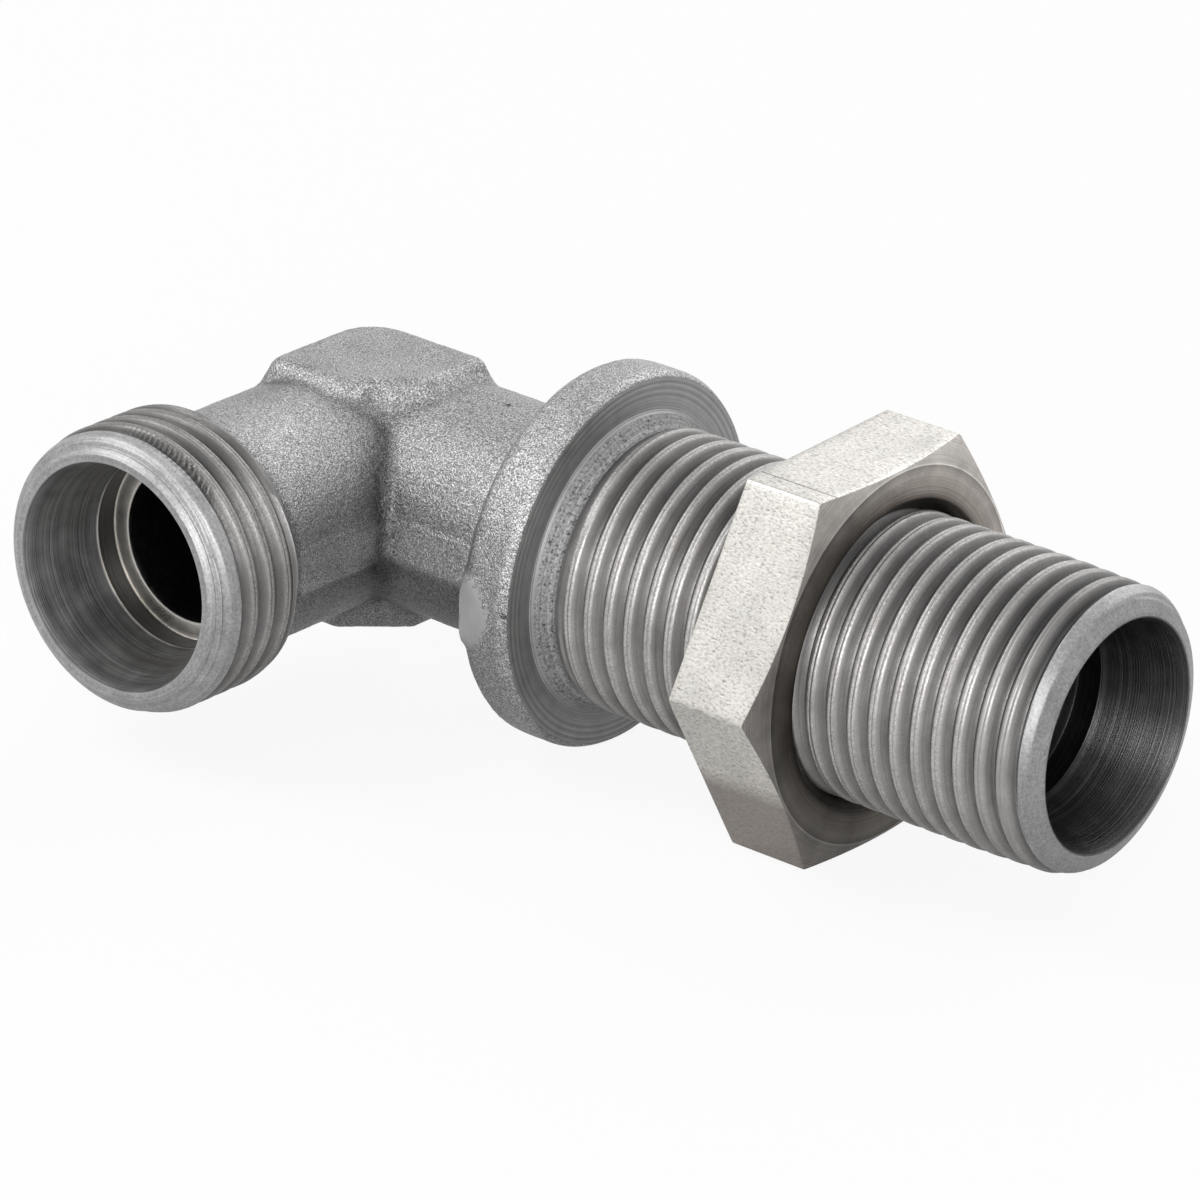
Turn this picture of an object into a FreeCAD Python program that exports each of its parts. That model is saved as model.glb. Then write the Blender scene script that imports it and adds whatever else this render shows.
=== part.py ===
import FreeCAD, Part
import math
import os

# Angle bulkhead fitting for a 12 mm tube, light series, in millimetres.
# A forged 90 degree elbow: the long threaded stem goes through a hole in a
# panel, its flange seats on one side and the locknut clamps the other side.
# Frame: the origin is the centre of the flange's seating face, +X runs along
# the stem to its free end, the branch port points to -Y and +Z is up.

# Lengths of the two legs, from the elbow centre and from the seating face
ELBOW_TO_SEAT = 20.3
STEM_LENGTH = 36.0
BRANCH_LENGTH = 24.0

# Thread M18 x 1.5 on both legs, here as its plain crest cylinder
THREAD_DIAMETER = 18.0
THREAD_ALLOWANCE = 0.075
BRANCH_THREAD_LENGTH = 6.7

# Tube socket: a 24 degree cone, a parallel seat and a ledge that stops the tube
TUBE_DIAMETER = 12.0
CONE_WIDENING = 2.3
CONE_ANGLE = 24.0
SOCKET_DEPTH = 7.0
STOP_LEDGE_WIDTH = 1.1
DRILL_OVERRUN = 1.2
DRILL_POINT_ANGLE = 118.0

# Chamfers in two slopes, from the crests to the narrow ring round each mouth
STEM_CHAMFER_LENGTH = 1.4
STEM_FACE_WIDTH = 0.2
BRANCH_CHAMFER_LENGTH = 1.8
BRANCH_FACE_WIDTH = 0.5
CHAMFER_CROWN = 0.16

# Forged barrels, and the shoulder behind the branch thread
BARREL_DIAMETER = 14.8
SHOULDER_ANGLE = 45.0
SHOULDER_FILLET = 1.0
CROTCH_FILLET = 0.9

# Flange
FLANGE_DIAMETER = 23.8
FLANGE_THICKNESS = 3.8
FLANGE_BACK_DRAFT = 5.0
FLANGE_BACK_CHAMFER = 0.55
FLANGE_FOOT_FILLET = 1.5
RIM_CHAMFER_LENGTH = 0.5
RIM_CHAMFER_DEPTH = 0.3

# Turned relief between the seating face and the first full crest
RELIEF_LENGTH = 2.1
RELIEF_STEP = 0.6
RELIEF_DEPTH = 0.45
RELIEF_RUN_IN = 0.5

# Forged pads above and below the elbow
PAD_RISE = 0.8
PAD_INNER_REACH = 5.95
PAD_OUTER_REACH = 3.4
UPPER_CORNER_CUT = 4.2
LOWER_CORNER_CUT = 3.6
PAD_CORNER_RADIUS = 3.0
PAD_EDGE_RADIUS = 0.75
PAD_DRAFT = 20.0
PAD_CORNER_DRAFT = 29.0

# Flash land left where the forging was trimmed at its parting plane
FLASH_ABOVE = 1.1
FLASH_BELOW = 1.4
FLASH_PROUD = 0.06
RIM_FLASH_ABOVE = 1.3
RIM_FLASH_BELOW = 2.4
RIM_FLASH_PROUD = 0.18
RIM_FLASH_BEVEL = 1.2
RIM_FLASH_MARGIN = 0.35
RIM_FLASH_WIDTH = 2.0

# Locknut
SPANNER_SIZE = 24.0
FLAT_ALLOWANCE = 0.3
NUT_THICKNESS = 6.0
PANEL_GAP = 13.75
NUT_ROLL = 1.9
NUT_FACE_INSET = 0.15
NUT_CHAMFER_ANGLE = 20.0
NUT_CLEARANCE = 0.05
COUNTERSINK_WIDENING = 1.3
COUNTERSINK_ANGLE = 90.0

THREAD_RADIUS = THREAD_DIAMETER / 2 - THREAD_ALLOWANCE
TUBE_RADIUS = TUBE_DIAMETER / 2
MOUTH_RADIUS = TUBE_RADIUS + CONE_WIDENING / 2
BARREL_RADIUS = BARREL_DIAMETER / 2
FLANGE_RADIUS = FLANGE_DIAMETER / 2
PAD_HEIGHT = BARREL_RADIUS + PAD_RISE
ELBOW_CENTRE = FreeCAD.Vector(-ELBOW_TO_SEAT, 0, 0)
STEM_AXIS = FreeCAD.Vector(1, 0, 0)
BRANCH_AXIS = FreeCAD.Vector(0, -1, 0)
UP = FreeCAD.Vector(0, 0, 1)
# How far a cut runs past the face that it opens
CUT_PAST = 1.0
SAME_PLACE = 1e-3


def run_over(drop, angle):
    """The length that a slope of this angle from the axis takes to drop."""
    return drop / math.tan(math.radians(angle))


def tangent_arc(before, corner, after, radius):
    """The arc of a radius that rounds a corner, tangent to both of its sides."""
    back = (before - corner).normalize()
    ahead = (after - corner).normalize()
    half = back.getAngle(ahead) / 2
    reach = radius / math.tan(half)
    middle = corner + (back + ahead).normalize() * (radius / math.sin(half) - radius)
    return Part.Arc(corner + back * reach, middle, corner + ahead * reach)


def rounded_outline(corners):
    """A closed wire through (x, y, radius) corners, each rounded by its radius."""
    points = [FreeCAD.Vector(x, y, 0) for x, y, radius in corners]
    edges, gaps = [], []
    for i, (x, y, radius) in enumerate(corners):
        before, here, after = points[i - 1], points[i], points[(i + 1) % len(points)]
        if radius > 0:
            arc = tangent_arc(before, here, after, radius)
            edges.append(arc.toShape())
            gaps.append((arc.StartPoint, arc.EndPoint))
        else:
            gaps.append((here, here))
    for i, (start, end) in enumerate(gaps):
        next_start = gaps[(i + 1) % len(gaps)][0]
        edges.append(Part.makeLine(end, next_start))
    return Part.Wire(Part.__sortEdges__(edges))


def turned(corners):
    """A solid turned about +X from (distance along, radius, rounding) corners."""
    face = Part.Face(rounded_outline(corners))
    return face.revolve(FreeCAD.Vector(0, 0, 0), STEM_AXIS, 360)


def on_leg(solid, axis):
    """Move a solid turned about +X to the leg that leaves the elbow along axis."""
    solid.Placement = FreeCAD.Placement(ELBOW_CENTRE, FreeCAD.Rotation(STEM_AXIS, axis))
    return solid


def threaded_end(end, length, face_width):
    """The corners of a leg's end: its chamfer in two slopes, its face ring, the axis."""
    face = MOUTH_RADIUS + face_width
    drop = THREAD_RADIUS - face
    bulge = 2 * CHAMFER_CROWN / math.hypot(length, drop)
    return [
        (end - length, THREAD_RADIUS, 0),
        (end - length / 2 + drop * bulge, face + drop / 2 + length * bulge, 0),
        (end, face, 0),
        (end, 0, 0),
    ]


def stem_leg():
    seat = ELBOW_TO_SEAT
    back = seat - FLANGE_THICKNESS
    edge = FLANGE_RADIUS - FLANGE_BACK_CHAMFER
    draft = run_over(edge - BARREL_RADIUS, 90 - FLANGE_BACK_DRAFT)
    floor = THREAD_RADIUS - RELIEF_DEPTH
    return turned([
        (0, 0, 0),
        (0, BARREL_RADIUS, 0),
        (back - draft, BARREL_RADIUS, FLANGE_FOOT_FILLET),
        (back, edge, 0),
        (back + FLANGE_BACK_CHAMFER, FLANGE_RADIUS, 0),
        (seat - RIM_CHAMFER_LENGTH, FLANGE_RADIUS, 0),
        (seat, FLANGE_RADIUS - RIM_CHAMFER_DEPTH, 0),
        (seat, THREAD_RADIUS + RELIEF_STEP, 0),
        (seat + RELIEF_STEP + RELIEF_DEPTH, floor, 0),
        (seat + RELIEF_LENGTH - RELIEF_RUN_IN, floor, 0),
        (seat + RELIEF_LENGTH, THREAD_RADIUS, 0),
    ] + threaded_end(seat + STEM_LENGTH, STEM_CHAMFER_LENGTH, STEM_FACE_WIDTH))


def branch_leg():
    shoulder_top = BRANCH_LENGTH - BRANCH_THREAD_LENGTH
    rise = run_over(THREAD_RADIUS - BARREL_RADIUS, SHOULDER_ANGLE)
    return turned([
        (0, 0, 0),
        (0, BARREL_RADIUS, 0),
        (shoulder_top - rise, BARREL_RADIUS, SHOULDER_FILLET),
        (shoulder_top, THREAD_RADIUS, 0),
    ] + threaded_end(BRANCH_LENGTH, BRANCH_CHAMFER_LENGTH, BRANCH_FACE_WIDTH))


def passage(end):
    """The space inside one leg: socket cone, tube seat and drilled flow bore."""
    bore = TUBE_RADIUS - STOP_LEDGE_WIDTH
    return turned([
        (-DRILL_OVERRUN - run_over(bore, DRILL_POINT_ANGLE / 2), 0, 0),
        (-DRILL_OVERRUN, bore, 0),
        (end - SOCKET_DEPTH, bore, 0),
        (end - SOCKET_DEPTH, TUBE_RADIUS, 0),
        (end - run_over(MOUTH_RADIUS - TUBE_RADIUS, CONE_ANGLE / 2), TUBE_RADIUS, 0),
        (end, MOUTH_RADIUS, 0),
        (end + CUT_PAST, MOUTH_RADIUS, 0),
        (end + CUT_PAST, 0, 0),
    ])


def pad_outline(height, corner_cut):
    """The outline of a pad's block at a height, drafted outward from its top."""
    spread = run_over(PAD_HEIGHT - height, 90 - PAD_DRAFT)
    corner_spread = run_over(PAD_HEIGHT - height, 90 - PAD_CORNER_DRAFT)
    inner = PAD_INNER_REACH + spread
    outer = PAD_OUTER_REACH + spread
    cut = corner_cut + 2 * spread - math.sqrt(2) * corner_spread
    wire = rounded_outline([
        (-outer, -inner, 0),
        (inner - cut, -inner, 0),
        (inner, cut - inner, 0),
        (inner, outer, 0),
        (-outer, outer, PAD_CORNER_RADIUS),
    ])
    wire.translate(UP * height)
    return wire


def pad(corner_cut):
    """A pad as a drafted block that rises from the parting plane."""
    outlines = [pad_outline(height, corner_cut) for height in (0, PAD_HEIGHT)]
    block = Part.makeLoft(outlines, True, True)
    off_the_foot = [e for e in block.Edges if e.BoundBox.ZMax > SAME_PLACE]
    return block.makeFillet(PAD_EDGE_RADIUS, off_the_foot)


def pads():
    """The pad on top of the elbow, and the one below it."""
    lower = pad(LOWER_CORNER_CUT).mirror(FreeCAD.Vector(0, 0, 0), UP)
    both = pad(UPPER_CORNER_CUT).fuse(lower)
    both.translate(ELBOW_CENTRE)
    return both


def lies_on_barrels(point):
    """Whether a point is on the skin of a barrel or of the ball where they meet."""
    x, y, z = point - ELBOW_CENTRE
    off_stem = math.hypot(y, z) if x > 0 else math.hypot(x, y, z)
    off_branch = math.hypot(x, z) if y < 0 else math.hypot(x, y, z)
    gaps = (abs(off_stem - BARREL_RADIUS), abs(off_branch - BARREL_RADIUS))
    return min(gaps) < SAME_PLACE


def crotch_edges(forging):
    """The edges where the barrels meet each other and where the pads rise from them."""
    found = []
    for edge in forging.Edges:
        if edge.Degenerated or isinstance(edge.Curve, (Part.Circle, Part.Line)):
            continue
        span = edge.LastParameter - edge.FirstParameter
        points = [edge.valueAt(edge.FirstParameter + span * t) for t in (0.1, 0.5, 0.9)]
        if all(lies_on_barrels(point) for point in points):
            found.append(edge)
    return found


def slab(low, high):
    """A box between two corners measured from the elbow centre."""
    size = [b - a for a, b in zip(low, high)]
    return Part.makeBox(*size, ELBOW_CENTRE + FreeCAD.Vector(*low))


def rim_land():
    """The trimmed flash on the back of the flange's rim, flat with bevelled ends."""
    start = ELBOW_TO_SEAT - FLANGE_THICKNESS + RIM_FLASH_MARGIN
    end = start + RIM_FLASH_WIDTH
    reach = FLANGE_RADIUS + RIM_FLASH_PROUD
    inner = reach - RIM_FLASH_BEVEL
    top, bottom = RIM_FLASH_ABOVE, -RIM_FLASH_BELOW
    high, low = top + RIM_FLASH_BEVEL, bottom - RIM_FLASH_BEVEL
    section = [(-inner, low), (-reach, bottom), (-reach, top), (-inner, high)]
    section += [(-y, z) for y, z in reversed(section)]
    points = [ELBOW_CENTRE + FreeCAD.Vector(start, y, z) for y, z in section]
    outline = Part.makePolygon(points + points[:1])
    return Part.Face(outline).extrude(STEM_AXIS * (end - start))


def flash_lands():
    """The trimmed flash: a low band round both barrels and a flat on the flange rim."""
    side = BARREL_RADIUS + FLASH_PROUD
    back = ELBOW_TO_SEAT - FLANGE_THICKNESS
    foot = BRANCH_LENGTH - BRANCH_THREAD_LENGTH - SHOULDER_FILLET
    height = FLASH_ABOVE + FLASH_BELOW
    return [
        slab((0, -side, -FLASH_BELOW), (back, side, FLASH_ABOVE)),
        slab((-side, -foot, -FLASH_BELOW), (side, 0, FLASH_ABOVE)),
        Part.makeCylinder(side, height, ELBOW_CENTRE - UP * FLASH_BELOW),
        rim_land(),
    ]


def elbow_body():
    forging = on_leg(stem_leg(), STEM_AXIS).fuse([
        on_leg(branch_leg(), BRANCH_AXIS),
        Part.makeSphere(BARREL_RADIUS, ELBOW_CENTRE),
        pads(),
    ]).removeSplitter()
    forging = forging.makeFillet(CROTCH_FILLET, crotch_edges(forging))
    forging = forging.fuse(flash_lands()).removeSplitter()
    return forging.cut([
        on_leg(passage(ELBOW_TO_SEAT + STEM_LENGTH), STEM_AXIS),
        on_leg(passage(BRANCH_LENGTH), BRANCH_AXIS),
    ])


def locknut():
    flat = (SPANNER_SIZE - FLAT_ALLOWANCE) / 2
    corner = flat / math.cos(math.radians(30))
    face = flat - NUT_FACE_INSET
    slope = (corner - face) * math.tan(math.radians(NUT_CHAMFER_ANGLE))
    bore = THREAD_RADIUS + NUT_CLEARANCE
    sink = (THREAD_DIAMETER + COUNTERSINK_WIDENING) / 2
    sink_depth = run_over(sink - bore, COUNTERSINK_ANGLE / 2)
    front = NUT_THICKNESS
    turned_shape = turned([
        (0, sink, 0),
        (0, corner + CUT_PAST, 0),
        (front - slope, corner + CUT_PAST, 0),
        (front - slope, corner, 0),
        (front, face, 0),
        (front, sink, 0),
        (front - sink_depth, bore, 0),
        (sink_depth, bore, 0),
    ])
    points = []
    for i in range(7):
        turn = math.radians(60 * i + 30 + NUT_ROLL)
        points.append(FreeCAD.Vector(0, -math.sin(turn), math.cos(turn)) * corner)
    hexagon = Part.Face(Part.makePolygon(points)).extrude(STEM_AXIS * NUT_THICKNESS)
    nut = turned_shape.common(hexagon)
    nut.translate(STEM_AXIS * PANEL_GAP)
    return nut


def main():
    os.makedirs("parts", exist_ok=True)
    for name, shape in (("elbow_body", elbow_body()), ("locknut", locknut())):
        solid = shape.Solids[0]
        print(name, len(shape.Solids), "solid", solid.isValid(), round(solid.Volume, 1), "mm3")
        solid.exportStep(f"parts/{name}.step")


main()
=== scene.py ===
import math
from collections import namedtuple

import bmesh
import bpy
import numpy as np
from mathutils import Matrix, Vector, noise


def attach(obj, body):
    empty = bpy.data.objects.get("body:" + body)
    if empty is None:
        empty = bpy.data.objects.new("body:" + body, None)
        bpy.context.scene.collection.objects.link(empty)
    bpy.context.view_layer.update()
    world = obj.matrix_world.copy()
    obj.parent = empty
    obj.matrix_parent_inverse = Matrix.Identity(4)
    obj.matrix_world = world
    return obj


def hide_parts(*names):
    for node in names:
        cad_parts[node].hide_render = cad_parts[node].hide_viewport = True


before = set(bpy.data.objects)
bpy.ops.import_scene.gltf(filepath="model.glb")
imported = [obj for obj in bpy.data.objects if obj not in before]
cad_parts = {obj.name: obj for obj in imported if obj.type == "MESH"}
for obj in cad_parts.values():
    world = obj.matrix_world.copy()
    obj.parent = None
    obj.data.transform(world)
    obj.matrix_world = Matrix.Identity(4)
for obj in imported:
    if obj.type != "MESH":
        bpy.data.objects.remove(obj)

# The looks of an angle bulkhead fitting. Lengths are in millimetres until a mesh is done,
# in the part's own frame: +X along the stem, -Y along the branch, +Z up.
MM = 0.001
FULL_TURN = 2 * math.pi
WHITE = (1, 1, 1, 1)

# Sizes that the solids have. A chamfer is a row of (along, radius) corners.
ELBOW_TO_SEAT = 20.3
STEM_END = 36.0
BRANCH_END = 24.0
THREAD_RADIUS = 8.925
TUBE_RADIUS = 6.0
MOUTH_RADIUS = 7.15
FLOW_RADIUS = 4.9
SOCKET_DEPTH = 7.0
CONE_HALF_ANGLE = math.radians(12)
FLANGE_RADIUS = 11.9
FLANGE_THICKNESS = 3.8
SEAT_RADIUS = 11.6
SEAT_INNER_RADIUS = 9.525
RIM_CHAMFER = 0.5
BARREL_RADIUS = 7.4
FLASH_ABOVE = 1.1
FLASH_BELOW = 1.4
STEM_CHAMFER = ((34.6, 8.925), (35.539, 8.35), (36.0, 7.35))
BRANCH_CHAMFER = ((22.2, 8.925), (23.285, 8.549), (24.0, 7.65))
RELIEF_BEVEL = 0.2
RELIEF_FLOOR_FROM = 1.05
RELIEF_FLOOR = 8.6
RELIEF_RUN_IN = ((1.3, 8.6), (1.9, 8.925))
SHOULDER_TOP = 17.3
BRANCH_BORE_Y = (-21, 5)

# The thread: M18 x 1.5, right-hand. Its form is worn: each pair is a distance from
# the middle of a crest, and how far the skin has dropped there.
PITCH = 1.5
THREAD_FORM = (
    (0.0, 0.05), (0.1, 0.0), (0.18, 0.005), (0.3, 0.11), (0.45, 0.33), (0.6, 0.56), (0.75, 0.65),
)
THREAD_DEPTH = THREAD_FORM[-1][1]
STEM_CREST_AT = 1.992
BRANCH_CREST_AT = 16.975
THREAD_START = 1.25
BRANCH_THREAD_START = 17.0
THREAD_FULL = 2.6
BRANCH_THREAD_FULL = 18.0
MID_STEM = 10
MID_BRANCH = 20
CREST_WEAR = 0.13
CREST_WEAR_RANGE = (29, 34.5)
EDGE_SOFTNESS = 0.03

# A fine turned step in the branch's end chamfer
STEP_AT = 23.62
STEP_WIDTH = 0.07
STEP_DEPTH = 0.1

# Where the forging stops and the turned grids take over
STEM_CUT = -0.7
BRANCH_CUT = 16.9

# Fineness of the meshes
COLUMNS = 100
SKIN_VOXEL = 0.28
RUN_OUT_ROWS = 13

# The forging's skin: how near a point has to be to a round size to be put on it, how much
# the mesh is evened out, and the noise that its relief is made of (cells per mm, height)
SNAP_REACH = 0.06
FLASH_CLEARANCE = 0.25
FOOT_CLEARANCE = 0.8
RELAX_STRENGTHS = (0.5, -0.52) * 3
RELIEF_NOISE = ((0.45, 0.03), (1.7, 0.022), (4.1, 0.014))
RELIEF_FADE = 0.5
BORE_MARGIN = 0.3
HOLLOW_ROUNDS = 10
HOLLOW_KEPT = 0.3
HOLLOW_FULL = 0.5

# The flange's back edge, rounded between these places along it and these radii
FLANGE_FROM = -4.5
RIM_ROUNDING = 0.35
RIM_ROUNDING_ALONG = (2.6, 4.0)
RIM_ROUNDING_ACROSS = (10.6, 11.4)

# The trimmed patch on the flange's rim
PATCH_CENTRE = (-3.1, -11.9, -0.6)
PATCH_REACH = (1.9, 3.0, 2.5)
PATCH_EDGE = (0.7, 1.3)
PATCH_BULGE = 0.08

# A dent in the pad's inner corner, and pits in the forging as (x, y, z, radius)
DENT_CENTRE = (-16.4, -4.6, 7.2)
DENT_REACH = 0.95
DENT_DEPTH = 0.25
PITS = (
    (-9.7, -0.1, 7.4, 0.26),
    (-13.03, -15.4, -1.4, 0.3),
    (-0.1, -11.9, -0.1, 0.3),
    (-16.4, 6.0, 5.2, 0.25),
)

# Chatter on the branch's first crest, and a ding on one of the stem's: (x, y, z, radius)
CHATTER_CENTRE = (-17.2, -22.2, 8.2)
CHATTER_REACH = (5.0, 0.8, 3.4)
CHATTER_SPACING = 0.38
DING = (28.6, -6.55, 6.06, 0.32)

# Locknut. The easings are at its back edge, its ridge and its face's circle.
NUT_BACK = 13.75
NUT_FRONT = 19.75
NUT_FLAT = 11.85
NUT_ROLL = math.radians(1.9)
NUT_HALF_SIDE = math.radians(30)
NUT_FACE_RADIUS = 11.7
NUT_FACE_MARGIN = 0.02
NUT_CHAMFER = math.tan(math.radians(20))
NUT_SINK_RADIUS = 9.65
NUT_MINOR_RADIUS = 8.2
NUT_LEAD_IN = 0.06
NUT_THREAD_GAP = 0.06
NUT_CORNER_ROUND = math.radians(0.4)
NUT_EASINGS = (0.07, 0.06, 0.03)
NUT_SIDE_ROWS = 14
NUT_CORNER_DEGREES = (-1.6, -0.8, -0.4, -0.15, 0.15, 0.4, 0.8, 1.6)
NUT_SIDE_DEGREES = (4, 56, 14)
SHARP_ANGLE = math.radians(38)

# Tones along a ramp, as (place, grey or colour)
FORGED_TONES = ((0.34, 0.15), (0.5, 0.265), (0.63, 0.52))
PATCH_TONES = ((0.3, 0.42), (0.7, 0.5))
# Painted shade in the forging's creases, by how hollow the skin is
HOLLOW_PAINTED_SHADE = ((0.2, 1.0), (0.6, 0.8), (1.0, 0.62))
CHATTER_SHADE = ((0.0, 0.55), (0.5, 1.0))
TORN_SHADE = ((0.36, 0.15), (0.42, 0.75), (0.6, 1.25))
MOTTLED_SHADE = ((0.35, 0.82), (0.65, 1.2))
DING_COLOUR = (0.75, 0.75, 0.74, 1)
OIL_AND_SHADE_COLOUR = (0.215, 0.188, 0.172, 1)
NUT_FLAT_TONES = (
    (0.32, (0.28, 0.265, 0.245)),
    (0.43, (0.50, 0.485, 0.457)),
    (0.66, (0.66, 0.64, 0.605)),
)
# From the nut's countersink out to its corners
NUT_FACE_TONES = (
    # The first, darkest stop at the countersink's edge is painted shade
    (0.0, (0.05, 0.042, 0.037)),
    (0.1, (0.2, 0.175, 0.155)),
    (0.25, (0.26, 0.235, 0.21)),
    (0.5, (0.33, 0.305, 0.28)),
    (0.655, (0.27, 0.247, 0.225)),
    (0.67, (0.78, 0.76, 0.73)),
    (0.69, (0.42, 0.395, 0.37)),
)

# Painted shade in the valley between the barrels: how far it reaches over the branch's and
# the stem's barrel, and the heights between which it ends
CROTCH_ON_BRANCH = 3.0
CROTCH_ON_STEM = 0.9
CROTCH_TOP = (5.5, 7.2)
CROTCH_PAINTED_SHADE = ((0.0, 0.55), (0.4, 0.75), (1.0, 1.0))

# Under the stem's barrel, from its start between these places along it to the flange, the
# flash's sheared edge gets a painted reflection of the lit floor and the skin below it painted
# shade. The flange's rim is bright.
UNDER_STEM = (-15, -13)
RIM_FROM = -4.4
SHEARED_PAINTED_REFLECTION = 1.6
UNDER_STEM_PAINTED_SHADE = (0.62, 0.66)
RIM_SHADE = (1.15, 1.15, 1.15, 1)

# On the nut: where the oil film and painted shade at its foot end on the flats, and the way,
# range and levels of the painted light and shade over its face
OIL_AND_SHADE_LINE = (-7.0, -5.5)
FACE_LIGHT_WAY = (0, 0.85, 0.53)
FACE_LIGHT_RANGE = (-8, 6.5)
FACE_PAINTED_LIGHT = (0.52, 1.25)

# The lap line on the nut: a point on it, and its reach along each axis
LAP_LINE = (0, -5.9, 11.65)
LAP_REACH = (60, 0.07, 1.2)

# The threads' tones, low on their flanks and on their crests
THREAD_TONES = {"stem": (0.35, 0.5), "branch": (0.19, 0.38)}

# Turned steels: leg, dark and light tone, roughness, lines per metre and their depth in
# metres, then what a steel has beyond those
TURNED_STEELS = {
    "seat_steel": ("stem", (0.18, 0.45), 0.42, 5200, 0.00005, {"metallic": 0.85}),
    "groove_steel": (
        "stem", (0.16, 0.38), 0.45, 4200, 0.00004,
        {"mottle": 0.0001, "metallic": 0.6, "torn": True},
    ),
    "stem_end_steel": ("stem", (0.26, 0.34), 0.46, 3500, 0.00002, {"mottle": 0.00001}),
    "stem_socket_steel": ("stem", (0.01, 0.19), 0.38, 14000, 0.00004, {}),
    "branch_end_steel": (
        "branch", (0.3, 0.4), 0.46, 4500, 0.00003, {"mottle": 0.00002, "chatter": True},
    ),
    "branch_socket_steel": ("branch", (0.18, 0.5), 0.4, 8000, 0.00004, {}),
    "stop_steel": ("branch", ((0.56, 0.53, 0.49), (0.9, 0.87, 0.82)), 0.3, 7000, 0.00003, {}),
    # The bores' and tube seats' near-black tones are painted shade deep inside them
    "bore_steel": ("stem", (0.015, 0.04), 0.5, 2600, 0.00003, {}),
    "stem_deep_steel": ("stem", (0.02, 0.06), 0.45, 5200, 0.00003, {}),
    "branch_deep_steel": ("branch", (0.02, 0.06), 0.45, 5200, 0.00003, {}),
    # The nut thread's dark tones are painted shade in its bore and countersinks
    "nut_thread_steel": (
        "stem", ((0.03, 0.026, 0.023), (0.16, 0.14, 0.125)), 0.4, 2500, 0.00002, {},
    ),
}

# Floor, just under the nut's lowest corner, and how far its shadow is eased away where the
# camera and where a reflection sees it
FLOOR_Z = -12.1
FLOOR_HALF = 1.5
FLOOR_COLOUR = (0.93, 0.93, 0.93, 1)
FLOOR_ROUGHNESS = 0.9
FLOOR_EASE = 0.9
FLOOR_EASE_REFLECTED = 0.1
WORLD_LIGHT = 0.37

# Lamps: name, place and width in metres, power in watts
LAMP_AIM = (0.004, -0.004, 0)
LAMPS = (
    ("key_left", (-0.33, -0.27, 0.44), 0.34, 1.3),
    ("front", (0.325, -0.52, 0.26), 0.40, 2.2),
    ("back_wide", (-0.04, 0.49, 0.36), 0.60, 1.25),
)

# The photograph's own view: from the front right and above, a little rolled
CAMERA_RIGHT = (0.7812, 0.6223, 0.0495)
CAMERA_UP = (-0.2833, 0.2829, 0.9164)
CAMERA_AHEAD = (-0.5562, 0.7299, -0.3973)
CAMERA_PLACE = (245.05, -324.21, 173.29)
CAMERA_LENS = 219.66
CAMERA_SENSOR = 36
CAMERA_CLIP_START = 0.01


def smoothstep(x, low, high):
    """0 below low, 1 above high, and eased between them."""
    t = np.clip((x - low) / (high - low), 0, 1)
    return t * t * (3 - 2 * t)


def soft_min(a, b, width):
    """The smaller of two radii, with the edge between them slightly rounded."""
    gap = np.clip(0.5 + 0.5 * (b - a) / width, 0, 1)
    return b + (a - b) * gap - width * gap * (1 - gap)


def thread_drop(along, theta, crest_at):
    """How far the thread's skin lies under its crest, along and round a leg."""
    turn = (along - crest_at) / PITCH - theta / FULL_TURN
    from_crest = np.abs(turn - np.round(turn)) * PITCH
    places, drops = zip(*THREAD_FORM)
    return np.interp(from_crest, places, drops)


def stem_radius(x, theta):
    """The stem's skin from the relief to the mouth."""
    crest = THREAD_RADIUS - CREST_WEAR * smoothstep(x, *CREST_WEAR_RANGE)
    depth = smoothstep(x, THREAD_START + 0.1, THREAD_FULL)
    skin = crest - depth * thread_drop(x, theta, STEM_CREST_AT)
    relief = np.interp(x, *zip(*RELIEF_RUN_IN))
    chamfer = np.interp(x, *zip(*STEM_CHAMFER))
    limit = np.where(x < MID_STEM, relief, chamfer)
    return soft_min(skin, limit, EDGE_SOFTNESS * smoothstep(x, THREAD_START, THREAD_START + 0.3))


def branch_radius(s, theta):
    """The branch's skin from its shoulder to the mouth."""
    depth = smoothstep(s, BRANCH_THREAD_START + 0.1, BRANCH_THREAD_FULL)
    skin = THREAD_RADIUS - depth * thread_drop(s, theta, BRANCH_CREST_AT)
    shoulder = np.minimum(THREAD_RADIUS, THREAD_RADIUS + s - SHOULDER_TOP)
    step = STEP_DEPTH * np.exp(-((s - STEP_AT) / STEP_WIDTH) ** 2)
    chamfer = np.interp(s, *zip(*BRANCH_CHAMFER)) - step
    limit = np.where(s < MID_BRANCH, shoulder, chamfer)
    return soft_min(skin, limit, EDGE_SOFTNESS * smoothstep(s, BRANCH_THREAD_START, SHOULDER_TOP))


def on_stem(along, radius, theta):
    """Points at a radius round the stem's axis. Angles start at the top."""
    return np.stack([along, -radius * np.sin(theta), radius * np.cos(theta)], axis=-1)


def on_branch(along, radius, theta):
    """The same round the branch's axis."""
    across = -ELBOW_TO_SEAT - radius * np.sin(theta)
    return np.stack([across, -along, radius * np.cos(theta)], axis=-1)


# What the outer ends of the two legs differ in: how points are placed, the skin's radius,
# the thread's phase and start, the chamfer, the end, how far before the chamfer's steeper
# slope the helical rows stop, the rows on that slope and the spacing on the face's ring
Leg = namedtuple("Leg", "place radius crest_at start chamfer end run_out rows face_spacing")
STEM = Leg(on_stem, stem_radius, STEM_CREST_AT, THREAD_START, STEM_CHAMFER, STEM_END, 0.9, 9, 1.0)
BRANCH = Leg(
    on_branch, branch_radius, BRANCH_CREST_AT, BRANCH_THREAD_START, BRANCH_CHAMFER, BRANCH_END,
    1.0, 21, 0.15,
)


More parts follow.
